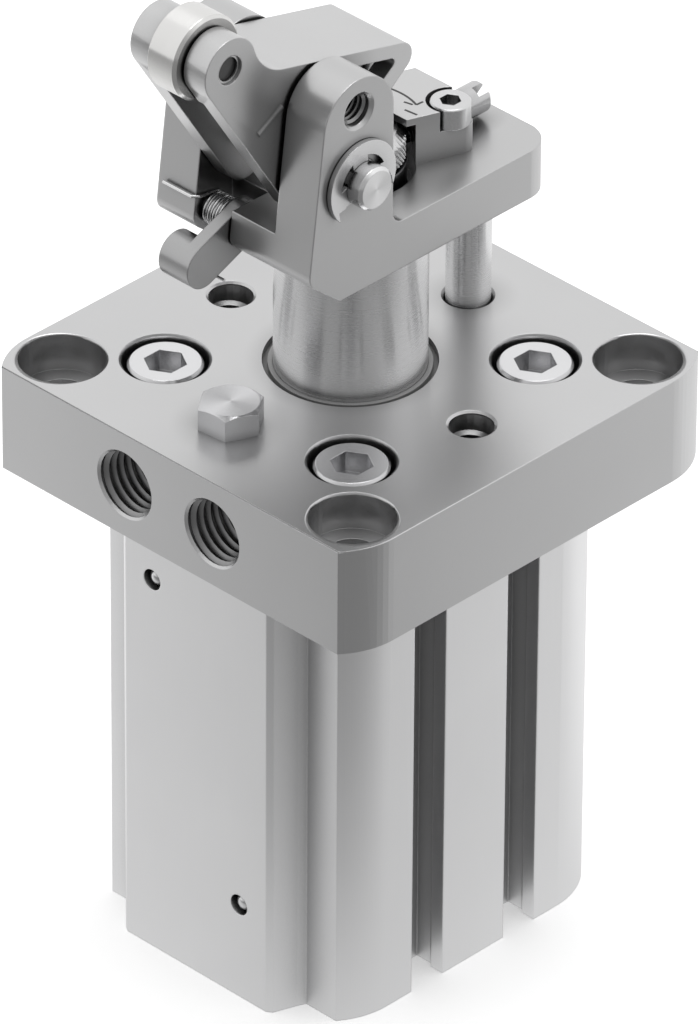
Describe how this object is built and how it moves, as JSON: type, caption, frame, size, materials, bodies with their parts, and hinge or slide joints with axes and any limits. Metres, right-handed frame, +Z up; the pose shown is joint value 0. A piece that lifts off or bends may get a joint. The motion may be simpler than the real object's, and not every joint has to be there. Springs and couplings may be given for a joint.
{
  "type": "stopper cylinder",
  "caption": "Stopper cylinder: square flange over an aluminium barrel, lifting rod with a fork head, damped toggle lever with a roller, and a spring-loaded latch pawl.",
  "frame": {"origin": "on the piston rod's axis, in the barrel's bottom face", "axes": "+Z up along the rod, towards the fork head; carriers arrive from -Y and push the roller towards +Y; the air ports and the label plate face -Y; the sensor grooves are on the +X and -X sides"},
  "size_m": [0.066, 0.0672, 0.1468],
  "materials": {
    "barrel_aluminium": "satin anodised extrusion",
    "flange_aluminium": "satin anodised, machined",
    "screw_steel": "bright plated screws",
    "ground_steel": "ground and hard chromed",
    "head_steel": "satin plated steel",
    "lever_steel": "satin plated steel",
    "pin_steel": "turned, bright",
    "spring_steel": "bright wire",
    "inner_aluminium": "turned",
    "seal_rubber": "matte black",
    "wiper_plastic": "grey polyurethane",
    "bush_metal": "sintered bush",
    "magnet": "plastic-bonded magnet"
  },
  "bodies": {
    "barrel_unit": {"barrel": "barrel_aluminium", "sealing_balls": "pin_steel", "flange_cap": "flange_aluminium", "spigot_oring": "seal_rubber", "flange_screws": "screw_steel", "hex_screw": "screw_steel", "rod_wiper": "wiper_plastic", "rod_bush": "bush_metal", "guide_bush": "bush_metal", "end_cap": "inner_aluminium", "end_cap_oring": "seal_rubber", "end_cap_circlip": "spring_steel"},
    "rod_unit": {"piston_rod": "ground_steel", "piston": "inner_aluminium", "piston_seals": "seal_rubber", "magnet_ring": "magnet", "piston_screw": "screw_steel", "guide_rod": "ground_steel", "fork_head": "head_steel", "pivot_pin": "pin_steel", "pivot_clips": "pin_steel", "absorber_body": "pin_steel", "adjuster_block": "lever_steel", "block_screw": "screw_steel", "pawl_pin": "pin_steel", "torsion_spring": "spring_steel"},
    "lever_unit": {"toggle_lever": "lever_steel", "roller_pin": "pin_steel", "roller_pin_rings": "pin_steel"},
    "roller_unit": {"roller": "pin_steel", "roller_bush": "bush_metal"},
    "plunger": {"absorber_plunger": "pin_steel"},
    "pawl": {"latch_pawl": "lever_steel"},
    "ring": {"adjusting_ring": "pin_steel"},
    "spindle": {"slotted_spindle": "pin_steel"}
  },
  "joints": [
    {"name": "rod_slide", "type": "slide", "parent": "barrel_unit", "child": "rod_unit", "axis": [0, 0, 1], "range_m": [-0.02, 0]},
    {"name": "lever_pivot", "type": "hinge", "parent": "rod_unit", "child": "lever_unit", "pos_m": [0, -0.0126, 0.1211], "axis": [1, 0, 0], "range_deg": [-17, 0], "stiffness_Nm_per_rad": 0.2, "springref_deg": 5.73},
    {"name": "roller_spin", "type": "hinge", "parent": "lever_unit", "child": "roller_unit", "pos_m": [0, -0.0284, 0.141], "axis": [1, 0, 0], "continuous": true},
    {"name": "plunger_slide", "type": "slide", "parent": "rod_unit", "child": "plunger", "axis": [0, 0, 1], "range_m": [-0.0033, 0]},
    {"name": "pawl_pivot", "type": "hinge", "parent": "rod_unit", "child": "pawl", "pos_m": [0, -0.0181, 0.1107], "axis": [1, 0, 0], "range_deg": [-20.1, 0], "deforming": ["torsion_spring"]},
    {"name": "ring_turn", "type": "hinge", "parent": "rod_unit", "child": "ring", "pos_m": [0, 0, 0.1146], "axis": [0, 0, 1], "range_deg": [-120, 120]},
    {"name": "spindle_turn", "type": "hinge", "parent": "rod_unit", "child": "spindle", "pos_m": [0.0026, 0.018, 0.1143], "axis": [0, 1, 0], "range_deg": [-180, 180]}
  ],
  "couplings": [
    {"joint": "plunger_slide", "follows": "lever_pivot", "m_per_rad": 0.010782},
    {"joint": "pawl_pivot", "follows": "rod_slide", "rad_per_m": 17.453}
  ]
}
